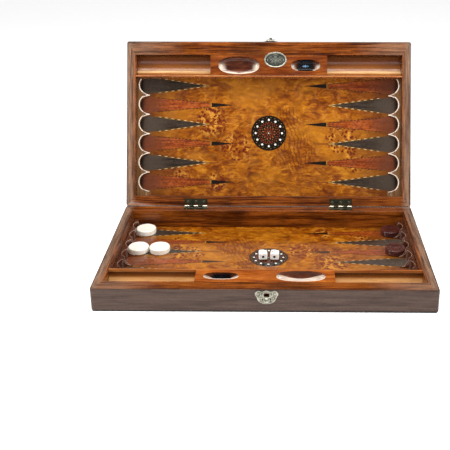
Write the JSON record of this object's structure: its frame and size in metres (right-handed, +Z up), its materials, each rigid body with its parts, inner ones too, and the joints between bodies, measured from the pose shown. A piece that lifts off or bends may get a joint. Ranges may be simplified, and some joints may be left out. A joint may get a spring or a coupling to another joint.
{
  "type": "backgammon set",
  "caption": "Folding wooden backgammon box lying open: scalloped play wells, checker troughs, hinges, a hasp latch, loose checkers and dice.",
  "frame": {"origin": "the middle of the base's underside, which rests on the table", "axes": "+X along the hinge line to the right of a player in front, +Y from the front edge to the hinges, +Z up"},
  "size_m": [0.49, 0.4261, 0.3031],
  "materials": {
    "frame_wood": "gloss",
    "burl_panel": "gloss",
    "strip_wood": "gloss",
    "trough_wood": "gloss",
    "block_wood": "gloss",
    "divider_wood": "gloss",
    "rosette_inlay": "gloss",
    "well_plate": "gloss",
    "pewter": "antique satin",
    "hinge_bronze": "antique satin",
    "pin_brass": "satin",
    "screw_brass": "satin",
    "light_checker": "gloss",
    "dark_checker": "gloss",
    "die": "gloss"
  },
  "bodies": {
    "base": {"base_back_rail": "frame_wood", "base_divider": "divider_wood", "base_floor_panel": "burl_panel", "base_front_rail": "frame_wood", "base_left_rail": "frame_wood", "base_left_scalloped_strip": "strip_wood", "base_left_trough": "trough_wood", "base_right_rail": "frame_wood", "base_right_scalloped_strip": "strip_wood", "base_right_trough": "trough_wood", "base_rosette": "rosette_inlay", "base_storage_block": "block_wood", "base_well_plate": "well_plate", "catch_left_nail": "pewter", "catch_plate": "pewter", "catch_right_nail": "pewter", "left_hinge_base_leaf": "hinge_bronze", "left_hinge_base_screw_1": "screw_brass", "left_hinge_base_screw_2": "screw_brass", "left_hinge_base_screw_3": "screw_brass", "left_hinge_pin": "pin_brass", "right_hinge_base_leaf": "hinge_bronze", "right_hinge_base_screw_1": "screw_brass", "right_hinge_base_screw_2": "screw_brass", "right_hinge_base_screw_3": "screw_brass", "right_hinge_pin": "pin_brass"},
    "dark_checker_1": {"dark_checker_1": "dark_checker"},
    "dark_checker_2": {"dark_checker_2": "dark_checker"},
    "die_1": {"die_1": "die"},
    "die_2": {"die_2": "die"},
    "hasp": {"hasp": "pewter"},
    "lid": {"hasp_pin": "pin_brass", "latch_left_nail": "pewter", "latch_plate": "pewter", "latch_right_nail": "pewter", "left_hinge_lid_leaf": "hinge_bronze", "left_hinge_lid_screw_1": "screw_brass", "left_hinge_lid_screw_2": "screw_brass", "left_hinge_lid_screw_3": "screw_brass", "lid_back_rail": "frame_wood", "lid_badge": "pewter", "lid_divider": "divider_wood", "lid_floor_panel": "burl_panel", "lid_front_rail": "frame_wood", "lid_left_rail": "frame_wood", "lid_left_scalloped_strip": "strip_wood", "lid_left_trough": "trough_wood", "lid_right_rail": "frame_wood", "lid_right_scalloped_strip": "strip_wood", "lid_right_trough": "trough_wood", "lid_rosette": "rosette_inlay", "lid_storage_block": "block_wood", "lid_well_plate": "well_plate", "right_hinge_lid_leaf": "hinge_bronze", "right_hinge_lid_screw_1": "screw_brass", "right_hinge_lid_screw_2": "screw_brass", "right_hinge_lid_screw_3": "screw_brass"},
    "light_checker_1": {"light_checker_1": "light_checker"},
    "light_checker_2": {"light_checker_2": "light_checker"},
    "light_checker_3": {"light_checker_3": "light_checker"}
  },
  "joints": [
    {"name": "lid_hinge", "type": "hinge", "parent": "base", "child": "lid", "pos_m": [0, 0.1423, 0.0363], "axis": [-1, 0, 0], "range_deg": [-112, 68]},
    {"name": "hasp_hinge", "type": "hinge", "parent": "lid", "child": "hasp", "pos_m": [0.003, 0.25213, 0.30093], "axis": [-1, 0, 0], "range_deg": [-165, 0]},
    {"name": "dark_checker_1_lift", "type": "slide", "parent": "base", "child": "dark_checker_1", "axis": [0, 0, 1], "range_m": [0, 0.06]},
    {"name": "dark_checker_2_lift", "type": "slide", "parent": "base", "child": "dark_checker_2", "axis": [0, 0, 1], "range_m": [0, 0.06]},
    {"name": "die_1_lift", "type": "slide", "parent": "base", "child": "die_1", "axis": [0, 0, 1], "range_m": [0, 0.06]},
    {"name": "die_2_lift", "type": "slide", "parent": "base", "child": "die_2", "axis": [0, 0, 1], "range_m": [0, 0.06]},
    {"name": "light_checker_1_lift", "type": "slide", "parent": "base", "child": "light_checker_1", "axis": [0, 0, 1], "range_m": [0, 0.06]},
    {"name": "light_checker_2_lift", "type": "slide", "parent": "base", "child": "light_checker_2", "axis": [0, 0, 1], "range_m": [0, 0.06]},
    {"name": "light_checker_3_lift", "type": "slide", "parent": "base", "child": "light_checker_3", "axis": [0, 0, 1], "range_m": [0, 0.06]}
  ]
}
